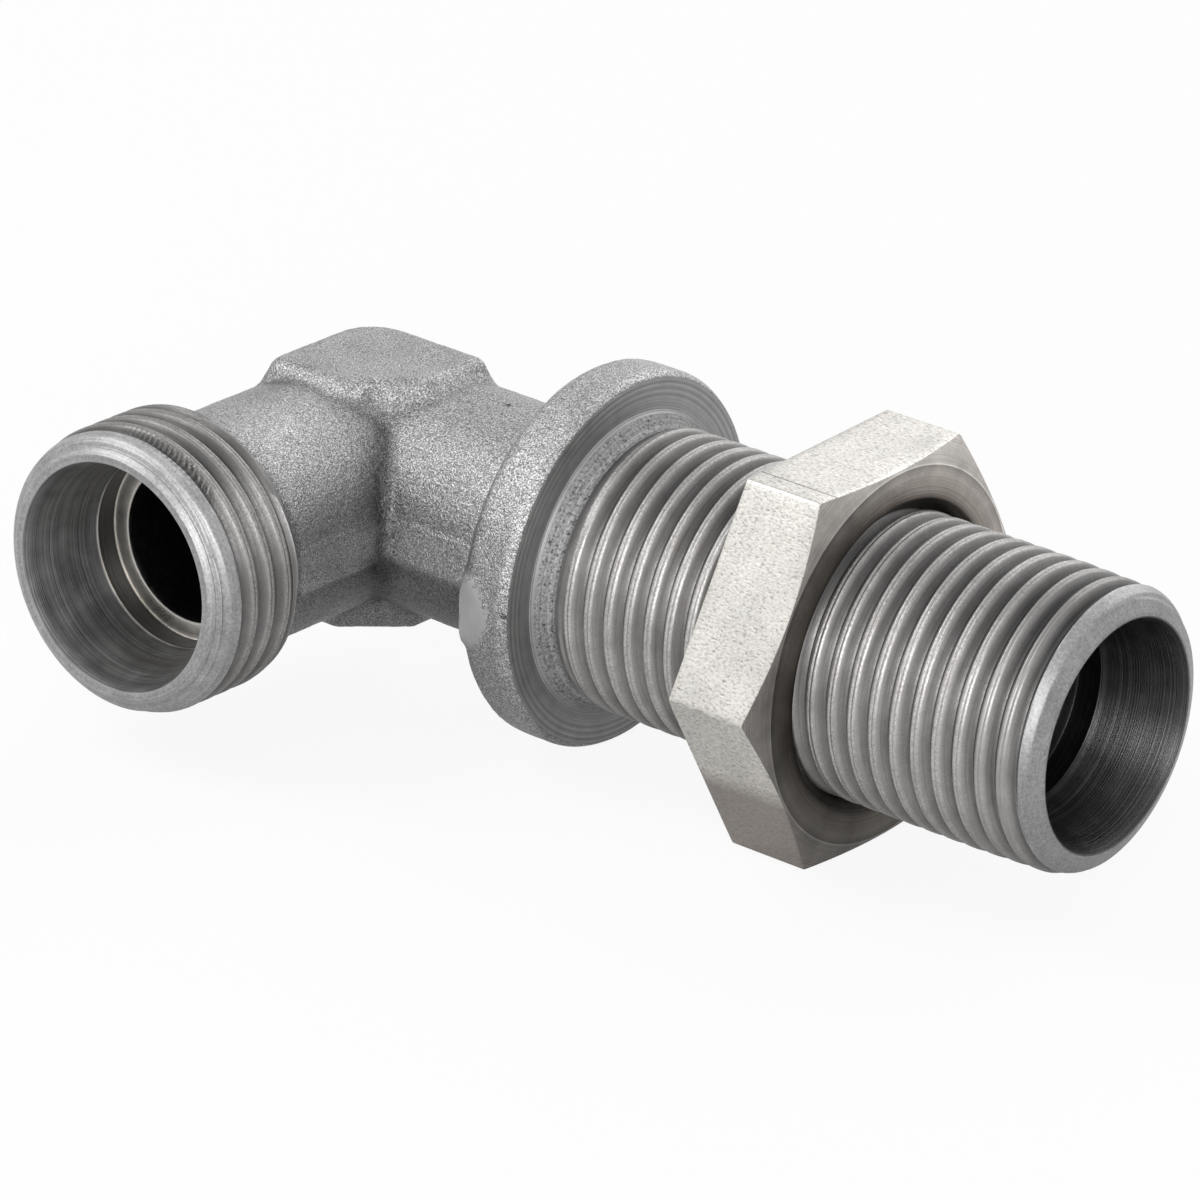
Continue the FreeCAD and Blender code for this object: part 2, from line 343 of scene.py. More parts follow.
class Shell:
    """Points and faces that grow patch by patch, then close into one mesh."""

    def __init__(self):
        self.points = []
        self.cavity = []
        self.faces = []
        self.slots = []
        self.count = 0

    def add_points(self, points, cavity=0.0):
        """Adds points with how hollow the skin is at each. Returns the first one's number."""
        start = self.count
        self.points.append(np.reshape(points, (-1, 3)))
        self.count += len(self.points[-1])
        self.cavity.append(np.broadcast_to(cavity, len(self.points[-1])))
        return start

    def add_grid(self, points, slot):
        """Quads over points laid out as rows by columns. Returns the points' numbers."""
        rows, columns = points.shape[:2]
        numbers = self.add_points(points) + np.arange(rows * columns).reshape(rows, columns)
        corners = [numbers[:-1, :-1], numbers[:-1, 1:], numbers[1:, 1:], numbers[1:, :-1]]
        quads = np.stack(corners, axis=-1).reshape(-1, 4)
        self.faces.extend(quads.tolist())
        self.slots.extend([slot] * len(quads))
        return numbers

    def add_zip(self, first, first_angles, second, second_angles, slot):
        """Triangles between two closed rings of points, each sorted by its angles."""
        first = list(first) + [first[0]]
        second = list(second) + [second[0]]
        first_angles = list(first_angles) + [first_angles[0] + FULL_TURN]
        second_angles = list(second_angles) + [second_angles[0] + FULL_TURN]
        i = j = 0
        while i < len(first) - 1 or j < len(second) - 1:
            next_first = first_angles[i + 1] if i < len(first) - 1 else math.inf
            next_second = second_angles[j + 1] if j < len(second) - 1 else math.inf
            if next_first < next_second:
                self.faces.append([first[i], first[i + 1], second[j]])
                i += 1
            else:
                self.faces.append([first[i], second[j + 1], second[j]])
                j += 1
            self.slots.append(slot)

    def build(self, name, materials):
        """Joins the patches into one mesh, and says how large it is and whether it closes."""
        mesh = bpy.data.meshes.new(name)
        mesh.from_pydata(np.concatenate(self.points).tolist(), [], self.faces)
        for material in materials:
            mesh.materials.append(material)
        mesh.polygons.foreach_set("material_index", self.slots)
        cavity = mesh.attributes.new("cavity", "FLOAT", "POINT")
        cavity.data.foreach_set("value", np.concatenate(self.cavity).astype(np.float32))
        work = bmesh.new()
        work.from_mesh(mesh)
        bmesh.ops.remove_doubles(work, verts=work.verts, dist=1e-4)
        bmesh.ops.dissolve_degenerate(work, edges=work.edges, dist=1e-5)
        bmesh.ops.recalc_face_normals(work, faces=work.faces)
        open_edges = sum(not edge.is_manifold for edge in work.edges)
        triangles = sum(len(face.verts) - 2 for face in work.faces)
        print(name, "triangles", triangles, "open edges", open_edges)
        work.to_mesh(mesh)
        work.free()
        return mesh


def rounded_profile(corners, steps=3):
    """A profile through (along, radius, rounding) corners, eased at each by a curve."""
    points = [np.array(corner[:2], float) for corner in corners]
    profile = [points[0]]
    for i in range(1, len(points) - 1):
        here, reach = points[i], corners[i][2]
        back = points[i - 1] - here
        ahead = points[i + 1] - here
        start = here + back / np.linalg.norm(back) * reach
        end = here + ahead / np.linalg.norm(ahead) * reach
        for t in np.linspace(0, 1, steps):
            profile.append((1 - t) ** 2 * start + 2 * t * (1 - t) * here + t * t * end)
    profile.append(points[-1])
    return profile


def spread(profile, spacing):
    """The same profile with more points on its long runs."""
    filled = [profile[0]]
    for start, end in zip(profile, profile[1:]):
        pieces = max(1, math.ceil(np.linalg.norm(end - start) / spacing))
        for k in range(1, pieces + 1):
            filled.append(start + (end - start) * k / pieces)
    return np.array(filled)


def ring_angles():
    """The angles of a turned ring's points, the first one again at the end."""
    return np.linspace(0, FULL_TURN, COLUMNS + 1)


def add_turned(shell, place, profile, slot):
    """A surface turned about a leg. place puts it on the stem or the branch."""
    along, theta = np.meshgrid(profile[:, 0], ring_angles(), indexing="ij")
    radius = np.repeat(profile[:, 1:2], COLUMNS + 1, axis=1)
    return shell.add_grid(place(along, radius, theta), slot)


def thread_rows(crest_at, start, end):
    """Where rows that follow the thread's form begin along a leg, from a turn before start."""
    offsets = [offset for offset, _ in THREAD_FORM]
    phases = sorted(offsets + [PITCH - offset for offset in offsets[1:-1]])
    first = math.floor((start - crest_at) / PITCH) - 1
    last = math.ceil((end - crest_at) / PITCH)
    return [crest_at + PITCH * turn + phase for turn in range(first, last) for phase in phases]


def add_helix(shell, place, radius_at, rows, angles, start, end, slot):
    """Rows that climb with the thread and stop square at both ends."""
    row, theta = np.meshgrid(rows, angles, indexing="ij")
    along = np.clip(row + PITCH * theta / FULL_TURN, start, end)
    shell.add_grid(place(along, radius_at(along, theta), theta), slot)


def add_rings(shell, leg, places, slot):
    """Plain rings over the last of a leg's thread and its chamfer."""
    along, theta = np.meshgrid(places, ring_angles(), indexing="ij")
    shell.add_grid(leg.place(along, leg.radius(along, theta), theta), slot)


def socket_profiles(end):
    """Inside a leg's mouth: the cone, its inner edge, the tube seat and the stop ledge."""
    cone_end = end - (MOUTH_RADIUS - TUBE_RADIUS) / math.tan(CONE_HALF_ANGLE)
    ledge = end - SOCKET_DEPTH
    cone = rounded_profile([
        (end, MOUTH_RADIUS + 0.1, 0),
        (end, MOUTH_RADIUS, 0.07),
        (cone_end + 0.06, TUBE_RADIUS + 0.013, 0),
    ])
    edge = np.array([cone[-1], (cone_end, TUBE_RADIUS - 0.02), (cone_end - 0.06, TUBE_RADIUS)])
    tube_seat = np.array([edge[-1], (ledge + 0.1, TUBE_RADIUS)])
    stop = rounded_profile([
        (ledge + 0.1, TUBE_RADIUS, 0),
        (ledge, TUBE_RADIUS, 0.05),
        (ledge, FLOW_RADIUS, 0.06),
        (ledge - 0.09, FLOW_RADIUS, 0),
    ])
    return spread(cone, 0.6), edge, tube_seat, spread(stop, 0.3)


def add_outer_end(shell, leg, thread, chamfer, cone, ledge, seat):
    """A leg from its thread's start round to its stop ledge, in the slots given.

    Returns the last point of the ledge's profile and the numbers of its last ring.
    """
    steep = leg.chamfer[1][0]
    stop = steep - leg.run_out
    rows = thread_rows(leg.crest_at, leg.start, stop)
    add_helix(shell, leg.place, leg.radius, rows, ring_angles(), leg.start, stop, thread)
    add_rings(shell, leg, np.linspace(stop, steep, RUN_OUT_ROWS), chamfer)
    add_rings(shell, leg, np.linspace(steep, leg.end, leg.rows), chamfer)
    face_ring = np.array([[leg.end, leg.chamfer[2][1]], [leg.end, MOUTH_RADIUS + 0.1]])
    add_turned(shell, leg.place, spread(face_ring, leg.face_spacing), chamfer)
    profiles = socket_profiles(leg.end)
    for profile, slot in zip(profiles, (cone, ledge, seat, ledge)):
        numbers = add_turned(shell, leg.place, profile, slot)
    return profiles[-1][-1], numbers[-1]


def forged_skin():
    """The elbow's solid on an even mesh, without the parts that are turned."""
    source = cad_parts["elbow_body"]
    copy = bpy.data.objects.new("skin_work", source.data.copy())
    bpy.context.scene.collection.objects.link(copy)
    copy.data.transform(Matrix.Scale(1 / MM, 4))
    remesh = copy.modifiers.new("even", "REMESH")
    remesh.mode = "VOXEL"
    remesh.voxel_size = SKIN_VOXEL
    bpy.context.view_layer.update()
    evaluated = copy.evaluated_get(bpy.context.evaluated_depsgraph_get())
    skin = bmesh.new()
    skin.from_mesh(bpy.data.meshes.new_from_object(evaluated))
    bpy.data.objects.remove(copy)
    for place, outward in (((STEM_CUT, 0, 0), (1, 0, 0)), ((0, -BRANCH_CUT, 0), (0, -1, 0))):
        everything = skin.verts[:] + skin.edges[:] + skin.faces[:]
        bmesh.ops.bisect_plane(
            skin, geom=everything, dist=1e-3, plane_co=place, plane_no=outward, clear_outer=True,
        )
    skin.verts.index_update()
    return skin


def true_up(points):
    """Bring back the roundness of the barrels, the ball and the flange's rim."""
    x, y, z = points.T
    x = x + ELBOW_TO_SEAT
    off_flash = (z > FLASH_ABOVE + FLASH_CLEARANCE) | (z < -FLASH_BELOW - FLASH_CLEARANCE)
    back = ELBOW_TO_SEAT - FLANGE_THICKNESS
    from_stem = np.stack([0 * x, y, z], -1)
    from_branch = np.stack([x, 0 * y, z], -1)
    from_ball = np.stack([x, y, z], -1)
    for chosen, spoke, radius in (
        (off_flash & (x > 0) & (x < back), from_stem, BARREL_RADIUS),
        (off_flash & (y < 0), from_branch, BARREL_RADIUS),
        (off_flash & (x < 0) & (y > 0), from_ball, BARREL_RADIUS),
        (x > back + FOOT_CLEARANCE, from_stem, FLANGE_RADIUS),
    ):
        distance = np.maximum(np.linalg.norm(spoke, axis=1), 1e-6)
        near = chosen & (np.abs(distance - radius) < SNAP_REACH)
        points = points + spoke * (np.where(near, radius - distance, 0) / distance)[:, None]
    return points


def average(values, edges):
    """Each point's mean over the points that it shares an edge with."""
    shape = (len(values),) + (1,) * (values.ndim - 1)
    total = np.zeros_like(values)
    np.add.at(total, edges[:, 0], values[edges[:, 1]])
    np.add.at(total, edges[:, 1], values[edges[:, 0]])
    return total / np.bincount(edges.ravel(), minlength=len(values)).reshape(shape)


def relax(points, edges, held):
    """Even out small steps in the mesh without shrinking it."""
    for strength in RELAX_STRENGTHS:
        moved = points + strength * (average(points, edges) - points)
        points = np.where(held[:, None], points, moved)
    return points


def hollow_of(points, edges, normals):
    """How hollow the skin is at each point: 0 on flat and round skin, 1 deep in a crease."""
    bend = ((average(points, edges) - points) * normals).sum(axis=1) * 4 / SKIN_VOXEL ** 2
    for _ in range(HOLLOW_ROUNDS):
        bend = HOLLOW_KEPT * bend + (1 - HOLLOW_KEPT) * average(bend, edges)
    return np.clip(bend / HOLLOW_FULL, 0, 1)


def soften_rim(points):
    """Round the flange's back edge, and blend the trimmed patch into the rim."""
    x, y, z = points.T
    radius = np.hypot(y, z)
    on_flange = x > FLANGE_FROM
    level = np.linalg.norm((points - PATCH_CENTRE) / PATCH_REACH, axis=1)
    on_patch = 1 - smoothstep(level, *PATCH_EDGE)
    rim = np.where(on_flange, FLANGE_RADIUS + PATCH_BULGE * on_patch, np.inf)
    rounding = smoothstep(-x, *RIM_ROUNDING_ALONG) * smoothstep(radius, *RIM_ROUNDING_ACROSS)
    pull = RIM_ROUNDING * rounding * (1 - on_patch)
    keep = (np.minimum(radius, rim) - pull * on_flange) / np.maximum(radius, 1)
    return np.stack([x, y * keep, z * keep], axis=-1)


def vertex_normals(skin, points):
    """Puts the skin on its points. Returns its normals there."""
    for vertex, point in zip(skin.verts, points):
        vertex.co = point
    skin.normal_update()
    return np.array([vertex.normal[:] for vertex in skin.verts])


def forged_relief(point):
    """How far the blasted skin stands out at a point: slow waves, pebbles and grain."""
    place = Vector(point)
    return sum(noise.noise(place * scale) * height for scale, height in RELIEF_NOISE)


def ring_of(points, along, where, spoke, least, most):
    """The numbers and angles of the cut's points between two radii, sorted by angle."""
    radius = np.hypot(*spoke)
    chosen = np.flatnonzero((np.abs(along - where) < 2e-3) & (radius > least) & (radius < most))
    angles = np.arctan2(spoke[0][chosen], spoke[1][chosen]) % FULL_TURN
    order = np.argsort(angles)
    return chosen[order], angles[order]


def in_flow(point):
    """Whether a point of the skin lies in one of the drilled bores."""
    x, y, z = point
    reach = FLOW_RADIUS + BORE_MARGIN
    in_stem = math.hypot(y, z) < reach and x > -ELBOW_TO_SEAT
    low, high = BRANCH_BORE_Y
    in_branch = math.hypot(x + ELBOW_TO_SEAT, z) < reach and low < y < high
    return in_stem or in_branch


def add_forging(shell, slot, bore_slot):
    """Adds the forged skin. Returns the numbers and angles of its four cut rings."""
    skin = forged_skin()
    points = np.array([vertex.co[:] for vertex in skin.verts])
    edges = np.array([[vertex.index for vertex in edge.verts] for edge in skin.edges])
    points = true_up(points)
    stem_along, branch_along = points[:, 0], -points[:, 1]
    margin = np.minimum(np.abs(stem_along - STEM_CUT), np.abs(branch_along - BRANCH_CUT))
    points = relax(points, edges, margin < 1e-3)
    points = soften_rim(true_up(points))
    normals = vertex_normals(skin, points)
    hollow = hollow_of(points, edges, normals)
    relief = np.array([forged_relief(point) for point in points])
    from_dent = np.linalg.norm(points - DENT_CENTRE, axis=1)
    relief -= DENT_DEPTH * (1 - smoothstep(from_dent, 0.1, DENT_REACH))
    fade = smoothstep(margin, 0.0, RELIEF_FADE)
    points = points + normals * (relief * fade)[:, None]
    across_stem = (-points[:, 1], points[:, 2])
    across_branch = (-points[:, 0] - ELBOW_TO_SEAT, points[:, 2])
    start = shell.add_points(points, hollow)
    rings = {}
    for name, along, where, spoke, least, most in (
        ("stem_outer", stem_along, STEM_CUT, across_stem, 9, 14),
        ("stem_inner", stem_along, STEM_CUT, across_stem, 0, 6),
        ("branch_outer", branch_along, BRANCH_CUT, across_branch, 7, 11),
        ("branch_inner", branch_along, BRANCH_CUT, across_branch, 0, 6),
    ):
        numbers, angles = ring_of(points, along, where, spoke, least, most)
        rings[name] = (start + numbers, angles)
    for face in skin.faces:
        shell.faces.append([start + vertex.index for vertex in face.verts])
        shell.slots.append(bore_slot if in_flow(face.calc_center_median()) else slot)
    skin.free()
    return rings


def join_ring(shell, ring, row, slot):
    """Closes the gap between a ring of the forging and a row of a turned grid."""
    shell.add_zip(ring[0], ring[1], row[:-1], ring_angles()[:-1], slot)


def elbow_mesh(materials):
    """The elbow's one skin. Its slots are in the order of elbow_materials."""
    forged, seat, groove, thread, chamfer, socket = range(6)
    branch_thread, branch_chamfer, branch_socket, stop, bore, deep, branch_deep = range(6, 13)
    shell = Shell()
    rings = add_forging(shell, forged, bore)

    rim = rounded_profile([
        (STEM_CUT + 0.03, FLANGE_RADIUS, 0),
        (-RIM_CHAMFER, FLANGE_RADIUS, 0.16),
        (0, SEAT_RADIUS, 0.09),
        (0, SEAT_RADIUS - 0.09, 0),
    ])
    numbers = add_turned(shell, on_stem, np.array(rim), forged)
    join_ring(shell, rings["stem_outer"], numbers[0], forged)
    face = rounded_profile([
        (0, SEAT_RADIUS - 0.09, 0),
        (0, SEAT_INNER_RADIUS, 0.05),
        (RELIEF_BEVEL, SEAT_INNER_RADIUS - RELIEF_BEVEL, 0),
    ])
    add_turned(shell, on_stem, spread(face, 0.25), seat)
    relief = rounded_profile([
        (RELIEF_BEVEL, SEAT_INNER_RADIUS - RELIEF_BEVEL, 0),
        (RELIEF_FLOOR_FROM, RELIEF_FLOOR, 0.12),
        (THREAD_START, RELIEF_FLOOR, 0),
    ])
    add_turned(shell, on_stem, spread(relief, 0.25), groove)
    inner_edge, _ = add_outer_end(shell, STEM, thread, chamfer, socket, socket, deep)
    flow = spread(np.array([inner_edge, [STEM_CUT + 0.05, FLOW_RADIUS]]), 4)
    numbers = add_turned(shell, on_stem, flow, bore)
    join_ring(shell, rings["stem_inner"], numbers[-1], bore)

    shoulder = np.array([
        [place, branch_radius(np.array(place), 0.0)]
        for place in (BRANCH_CUT + 0.04, BRANCH_THREAD_START)
    ])
    numbers = add_turned(shell, on_branch, shoulder, forged)
    join_ring(shell, rings["branch_outer"], numbers[0], forged)
    _, last_ring = add_outer_end(
        shell, BRANCH, branch_thread, branch_chamfer, branch_socket, stop, branch_deep,
    )
    join_ring(shell, rings["branch_inner"], last_ring, bore)
    return shell.build("elbow_skin", materials)


def nut_angles():
    """Angles round the nut, close together at its corners."""
    degrees = (*NUT_CORNER_DEGREES, *np.linspace(*NUT_SIDE_DEGREES))
    angles = []
    for corner in range(6):
        middle = math.radians(60 * corner + 30) + NUT_ROLL
        angles += [middle + math.radians(offset) for offset in degrees]
    angles = sorted(angles)
    return np.array(angles + [angles[0] + FULL_TURN])


def nut_radius(theta):
    """The hexagon's radius at an angle, with its corners a little rounded."""
    turn = (theta - NUT_ROLL) % (2 * NUT_HALF_SIDE) - NUT_HALF_SIDE
    off_corner = np.sqrt(turn ** 2 + NUT_CORNER_ROUND ** 2)
    return NUT_FLAT / np.cos(NUT_HALF_SIDE - off_corner)


def ease_corner(before, here, after, reach):
    """Three rows that ease a corner row, in place of its sharp one."""
    back = (before - here) / np.linalg.norm(before - here, axis=-1, keepdims=True)
    ahead = (after - here) / np.linalg.norm(after - here, axis=-1, keepdims=True)
    start, end = here + back * reach, here + ahead * reach
    return [start, (start + 2 * here + end) / 4, end]


def nut_bore_radius(x, theta):
    """The nut's own thread, opened out by a countersink at each face."""
    thread = NUT_THREAD_GAP + THREAD_RADIUS - thread_drop(x, theta, STEM_CREST_AT)
    back_sink = NUT_SINK_RADIUS - (x - NUT_BACK)
    front_sink = NUT_SINK_RADIUS - (NUT_FRONT - x)
    sunk = np.maximum(back_sink, front_sink)
    return np.maximum(np.maximum(NUT_MINOR_RADIUS, thread), sunk)


def nut_mesh(materials):
    """The nut's one skin. Its slots are in the order of nut_materials."""
    flats, face, thread = range(3)
    shell = Shell()
    theta = nut_angles()
    outer = nut_radius(theta)
    rim = np.minimum(outer, NUT_FACE_RADIUS)
    ridge = NUT_FRONT - np.maximum(outer - NUT_FACE_RADIUS, NUT_FACE_MARGIN) * NUT_CHAMFER

    def row(x, radius):
        return np.stack(np.broadcast_arrays(x, radius, theta)[:2], axis=-1)

    def add_rows(rows, slot):
        turn = np.broadcast_to(theta, rows.shape[:2])
        shell.add_grid(on_stem(rows[..., 0], rows[..., 1], turn), slot)

    back_inner = row(NUT_BACK, NUT_SINK_RADIUS)
    back_edge = row(NUT_BACK, outer)
    front_edge = row(ridge, outer)
    circle = row(NUT_FRONT, rim - NUT_FACE_MARGIN)
    front_inner = row(NUT_FRONT, NUT_SINK_RADIUS)
    first = ease_corner(back_inner, back_edge, front_edge, NUT_EASINGS[0])
    last = ease_corner(back_edge, front_edge, circle, NUT_EASINGS[1])
    slope = ease_corner(front_edge, circle, front_inner, NUT_EASINGS[2])
    steps = np.linspace(0, 1, NUT_SIDE_ROWS + 2)[1:-1, None, None]
    middle = first[-1] + (last[0] - first[-1]) * steps
    add_rows(np.array([back_inner, *first, *middle, *last]), flats)
    add_rows(np.array([last[-1], *slope, front_inner]), face)

    inside = NUT_FRONT - NUT_LEAD_IN
    ring, turn = np.meshgrid([NUT_FRONT, inside], theta, indexing="ij")
    shell.add_grid(on_stem(ring, nut_bore_radius(ring, turn), turn), thread)
    start = theta[0] / FULL_TURN * PITCH
    rows = [place - start for place in thread_rows(STEM_CREST_AT, NUT_BACK, NUT_FRONT + PITCH)]
    add_helix(shell, on_stem, nut_bore_radius, rows, theta, NUT_BACK, inside, thread)
    return shell.build("locknut_skin", materials)


class Nodes:
    """A material's node tree, with short calls for the nodes that it uses."""

    def __init__(self, name):
        self.material = bpy.data.materials.new(name)
        self.material.use_nodes = True
        self.tree = self.material.node_tree
        self.shader = self.tree.nodes["Principled BSDF"]

    def add(self, kind, inputs=(), **settings):
        node = self.tree.nodes.new(kind)
        for key, value in settings.items():
            setattr(node, key, value)
        for key, value in dict(inputs).items():
            self.feed(node.inputs[key], value)
        return node

    def feed(self, socket, value):
        if isinstance(value, bpy.types.NodeSocket):
            self.tree.links.new(value, socket)
        else:
            socket.default_value = value

    def math(self, operation, a, b=0.0, c=0.0):
        return self.add("ShaderNodeMath", {0: a, 1: b, 2: c}, operation=operation).outputs[0]

    def vector_math(self, operation, a, b=(0, 0, 0)):
        node = self.add("ShaderNodeVectorMath", {0: a, 1: b}, operation=operation)
        return node.outputs["Value" if operation in ("LENGTH", "DOT_PRODUCT") else "Vector"]

    def place(self):
        """The point on the object, in metres."""
        return self.add("ShaderNodeTexCoord").outputs["Object"]

    def axes(self, vector):
        """A vector's X, Y and Z."""
        return self.add("ShaderNodeSeparateXYZ", {"Vector": vector}).outputs

    def level(self, value, low, high, to_low=0.0, to_high=1.0):
        """A length in metres, mapped from between two in millimetres to between two levels."""
        return self.add("ShaderNodeMapRange", {
            "Value": value, "From Min": low * MM, "From Max": high * MM,
            "To Min": to_low, "To Max": to_high,
        }).outputs["Result"]

    def noise(self, vector, scale, detail=2.0, roughness=0.5):
        """Noise from 0 to 1, with scale cells per metre."""
        inputs = {"Vector": vector, "Scale": scale, "Detail": detail, "Roughness": roughness}
        return self.add("ShaderNodeTexNoise", inputs).outputs["Fac"]

    def ramp(self, value, stops):
        """Maps a value through (place, colour) stops. A single number is a grey."""
        node = self.add("ShaderNodeValToRGB", {"Fac": value})
        elements = node.color_ramp.elements
        while len(elements) < len(stops):
            elements.new(0.5)
        for element, (where, colour) in zip(elements, stops):
            element.position = where
            grey = isinstance(colour, (int, float))
            element.color = (colour, colour, colour, 1) if grey else (*colour, 1)
        return node.outputs["Color"]

    def mix(self, factor, a, b, kind="MIX"):
        node = self.add("ShaderNodeMix", data_type="RGBA", blend_type=kind)
        self.feed(node.inputs[0], factor)
        self.feed(node.inputs[6], a)
        self.feed(node.inputs[7], b)
        return node.outputs[2]

    def shaded(self, colour, *factors):
        """A colour multiplied by each of the factors."""
        for factor in factors:
            colour = self.mix(1.0, colour, factor, "MULTIPLY")
        return colour

    def bump(self, height, strength, distance, normal=None):
        inputs = {"Height": height, "Strength": strength, "Distance": distance}
        if normal is not None:
            inputs["Normal"] = normal
        return self.add("ShaderNodeBump", inputs).outputs["Normal"]

    def finish(self, colour, roughness, metallic, normal):
        self.feed(self.shader.inputs["Base Color"], colour)
        self.feed(self.shader.inputs["Roughness"], roughness)
        self.shader.inputs["Metallic"].default_value = metallic
        self.feed(self.shader.inputs["Normal"], normal)
        return self.material


def lathe_place(nodes, leg):
    """A point's distance from a leg's axis and along it, for marks that run round it."""
    if leg == "stem":
        centre, keep, along = (0, 0, 0), (0, 1, 1), (1, 0, 0)
    else:
        centre, keep, along = (-ELBOW_TO_SEAT * MM, 0, 0), (1, 0, 1), (0, -1, 0)
    move = nodes.vector_math("SUBTRACT", nodes.place(), centre)
    flat = nodes.vector_math("MULTIPLY", move, keep)
    inputs = {
        "X": nodes.vector_math("LENGTH", flat),
        "Y": nodes.vector_math("DOT_PRODUCT", move, along),
    }
    return nodes.add("ShaderNodeCombineXYZ", inputs).outputs[0]


def distance_level(nodes, place, centre, reach):
    """0 at a centre, 1 at its reach along each axis, in millimetres."""
    move = nodes.vector_math("SUBTRACT", place, [length * MM for length in centre])
    scaled = nodes.vector_math("DIVIDE", move, [length * MM for length in reach])
    return nodes.vector_math("LENGTH", scaled)


def crotch_painted_shade(nodes, place):
    """Painted shade beside the valley between the barrels, mostly on the branch's side."""
    x, y, z = nodes.axes(place)
    inner = nodes.math("ADD", x, ELBOW_TO_SEAT * MM)
    side = nodes.math("ADD", inner, y)
    over_branch = nodes.math("DIVIDE", side, -CROTCH_ON_BRANCH * MM)
    over_stem = nodes.math("DIVIDE", side, CROTCH_ON_STEM * MM)
    valley = nodes.math("MAXIMUM", over_branch, over_stem)
    above = nodes.level(nodes.math("ABSOLUTE", z), *CROTCH_TOP)
    outside = nodes.math("LESS_THAN", inner, 0.0)
    open_air = nodes.math("ADD", nodes.math("ADD", valley, above), outside)
    return nodes.ramp(open_air, CROTCH_PAINTED_SHADE)


def flash_painted_light(nodes, place):
    """Painted reflection on the sheared edge, painted shade under the stem's barrel, and the bright
    rim.
    """
    axes = nodes.axes(place)
    span = 20
    level = nodes.math("ADD", nodes.math("DIVIDE", axes["Z"], span * MM), 0.5)
    above, below = 0.5 + FLASH_ABOVE / span, 0.5 - FLASH_BELOW / span
    # Bands by height: painted shade below the flash, a painted reflection on its sheared edge
    bands = nodes.ramp(level, [
        (0.2, UNDER_STEM_PAINTED_SHADE[0]), (below - 0.03, UNDER_STEM_PAINTED_SHADE[1]), (below - 0.01, 1.0),
        (below + 0.01, SHEARED_PAINTED_REFLECTION), (above - 0.015, SHEARED_PAINTED_REFLECTION), (above, 1.0),
    ])
    shade = nodes.mix(nodes.level(axes["X"], *UNDER_STEM), WHITE, bands)
    on_flange = nodes.math("GREATER_THAN", axes["X"], RIM_FROM * MM)
    return nodes.mix(on_flange, shade, RIM_SHADE)


def forged_material():
    """Shot-blasted forging: matte grey whose fine grains glint where the light falls."""
    nodes = Nodes("forged_grey")
    place = nodes.place()
    grains = nodes.noise(place, 10500, 2, 0.6)
    flakes = nodes.noise(place, 3400, 3, 0.6)
    clouds = nodes.noise(place, 240, 3, 0.6)
    hollow = nodes.add("ShaderNodeAttribute", attribute_name="cavity").outputs["Fac"]
    base = nodes.shaded(
        nodes.ramp(grains, FORGED_TONES),
        nodes.ramp(clouds, [(0.3, 0.87), (0.7, 1.12)]),
        nodes.ramp(flakes, [(0.36, 0.75), (0.5, 1.0)]),
        # painted shade in the creases
        nodes.ramp(hollow, HOLLOW_PAINTED_SHADE),
        # painted shade in the valley between the barrels
        crotch_painted_shade(nodes, place),
        # painted reflection and painted shade round the flash under the stem's barrel
        flash_painted_light(nodes, place),
    )
    wobble = nodes.math("MULTIPLY_ADD", flakes, 0.9, -0.45)
    near_patch = distance_level(nodes, place, PATCH_CENTRE, PATCH_REACH)
    patch = nodes.ramp(nodes.math("ADD", near_patch, wobble), [(0.86, 1.0), (0.98, 0.0)])
    colour = nodes.mix(patch, base, nodes.ramp(clouds, PATCH_TONES))
    rough = nodes.ramp(grains, [(0.4, 0.5), (0.6, 0.32)])
    depth = nodes.math("SUBTRACT", 1.0, patch)
    normal = nodes.bump(grains, depth, 0.00005)
    normal = nodes.bump(flakes, nodes.math("MULTIPLY", depth, 0.7), 0.00009, normal)
    for *centre, radius in PITS:
        level = distance_level(nodes, place, centre, [radius] * 3)
        ragged = nodes.math("ADD", level, nodes.math("MULTIPLY_ADD", grains, 1.6, -0.8))
        pit = nodes.ramp(ragged, [(0.5, 0.12), (1.0, 1.0)])
        colour = nodes.shaded(colour, pit)
        normal = nodes.bump(pit, 1.0, 0.00008, normal)
    return nodes.finish(colour, rough, 1.0, normal)


def add_chatter(nodes, place, colour, normal):
    """Small cross marks along a stretch of the branch's first crest."""
    turns = nodes.math("MULTIPLY", nodes.axes(place)["X"], FULL_TURN / (CHATTER_SPACING * MM))
    uneven = nodes.math("MULTIPLY_ADD", nodes.noise(place, 1800, 2), 5.0, turns)
    wave = nodes.math("MULTIPLY_ADD", nodes.math("SINE", uneven), 0.5, 0.5)
    level = distance_level(nodes, place, CHATTER_CENTRE, CHATTER_REACH)
    marks = nodes.math("MAXIMUM", wave, nodes.ramp(level, [(0.6, 0.0), (1.0, 1.0)]))
    colour = nodes.shaded(colour, nodes.ramp(marks, CHATTER_SHADE))
    return colour, nodes.bump(marks, 1.0, 0.00006, normal)


